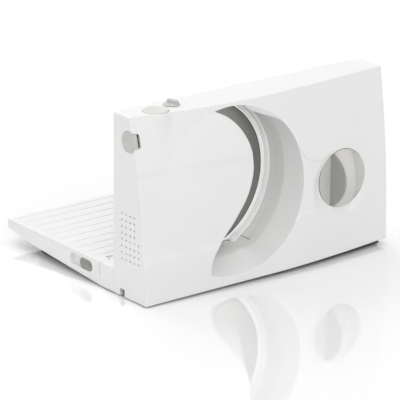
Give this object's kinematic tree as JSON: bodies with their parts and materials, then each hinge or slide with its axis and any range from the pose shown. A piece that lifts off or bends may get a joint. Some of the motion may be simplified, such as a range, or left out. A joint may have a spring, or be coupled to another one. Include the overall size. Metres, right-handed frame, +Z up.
{
  "type": "electric food slicer",
  "caption": "Folding electric food slicer with a round toothed blade, a sliding gauge plate set by a front knob, and a fold-up table with a sliding catch.",
  "frame": {"origin": "middle of the footprint of the opened slicer, on the surface it stands on", "axes": "+X to the right along the housing, +Y from the front face towards the end of the table, +Z up"},
  "size_m": [0.335, 0.268, 0.2064],
  "materials": {
    "white_plastic": "off-white moulded plastic, fine spark texture, satin",
    "grey_plastic": "warm light grey moulded plastic, satin",
    "latch_plastic": "grey moulded plastic, satin",
    "dark_plastic": "black moulded plastic, matt",
    "rubber": "black rubber, dull",
    "blade_steel": "stainless, finely turned",
    "steel": "plain steel",
    "brass": "turned brass",
    "gear_plastic": "natural acetal, smooth",
    "lock_plastic": "black moulded plastic"
  },
  "bodies": {
    "housing": {"housing_front": "white_plastic", "housing_back": "white_plastic", "base_plate": "dark_plastic", "foot_front_left": "rubber", "foot_front_right": "rubber", "foot_back_left": "rubber", "foot_back_right": "rubber", "base_screw_front_left": "steel", "base_screw_front_right": "steel", "base_screw_back_left": "steel", "base_screw_back_right": "steel", "back_screw_upper": "steel", "back_screw_lower": "steel", "blade_spindle": "steel", "gear_axle": "steel", "guide_rod_upper": "steel", "guide_rod_lower": "steel", "hinge_pin_left": "steel", "hinge_pin_right": "steel", "motor_can": "steel", "motor_cradle": "gear_plastic", "bearing_bracket": "gear_plastic", "start_switch": "dark_plastic", "selector_switch": "dark_plastic", "switch_carrier": "gear_plastic"},
    "blade_set": {"blade": "blade_steel", "blade_gear": "gear_plastic"},
    "blade_lock": {"blade_lock": "lock_plastic"},
    "double_gear": {"double_gear": "gear_plastic"},
    "rotor": {"motor_shaft": "steel", "cooling_fan": "dark_plastic", "worm": "brass"},
    "knob": {"thickness_knob": "grey_plastic", "knob_spindle": "steel"},
    "gauge_plate": {"gauge_plate": "white_plastic"},
    "table": {"folding_table": "white_plastic", "table_support": "dark_plastic", "foot_table_left": "rubber", "foot_table_right": "rubber"},
    "latch": {"table_latch": "latch_plastic"},
    "start_button": {"start_button": "grey_plastic"},
    "selector": {"selector": "grey_plastic"},
    "lock_button": {"lock_button": "grey_plastic"}
  },
  "joints": [
    {"name": "blade_spin", "type": "hinge", "parent": "housing", "child": "blade_set", "pos_m": [-0.0555, -0.06295, 0.108], "axis": [0, 1, 0], "continuous": true},
    {"name": "double_gear_spin", "type": "hinge", "parent": "housing", "child": "double_gear", "pos_m": [-0.10624, -0.10145, 0.08953], "axis": [0, 1, 0], "continuous": true},
    {"name": "motor_spin", "type": "hinge", "parent": "housing", "child": "rotor", "pos_m": [-0.12624, -0.09845, 0.066], "axis": [0, 0, 1], "continuous": true},
    {"name": "blade_lock_turn", "type": "hinge", "parent": "blade_set", "child": "blade_lock", "pos_m": [-0.0555, -0.06295, 0.108], "axis": [0, 1, 0], "range_deg": [0, 90]},
    {"name": "thickness_turn", "type": "hinge", "parent": "housing", "child": "knob", "pos_m": [0.1001, -0.11415, 0.0903], "axis": [0, 1, 0], "range_deg": [0, 330]},
    {"name": "gauge_slide", "type": "slide", "parent": "housing", "child": "gauge_plate", "axis": [0, -1, 0], "range_m": [0, 0.015]},
    {"name": "table_fold", "type": "hinge", "parent": "housing", "child": "table", "pos_m": [-0.1675, -0.03365, 0.0239], "axis": [1, 0, 0], "range_deg": [0, 90]},
    {"name": "latch_slide", "type": "slide", "parent": "table", "child": "latch", "axis": [0, 1, 0], "range_m": [0, 0.0175]},
    {"name": "start_press", "type": "slide", "parent": "housing", "child": "start_button", "axis": [0, 0, -1], "range_m": [0, 0.0025], "stiffness_N_per_m": 400},
    {"name": "selector_turn", "type": "hinge", "parent": "housing", "child": "selector", "pos_m": [-0.1045, -0.07915, 0.2014], "axis": [0, 0, 1], "range_deg": [-40, 40]},
    {"name": "lock_press", "type": "slide", "parent": "housing", "child": "lock_button", "axis": [1, 0, 0], "range_m": [0, 0.0025], "stiffness_N_per_m": 400}
  ],
  "couplings": [
    {"joint": "double_gear_spin", "follows": "blade_spin", "ratio": -5},
    {"joint": "motor_spin", "follows": "blade_spin", "ratio": 120},
    {"joint": "thickness_turn", "follows": "gauge_slide", "rad_per_m": 383.97}
  ]
}
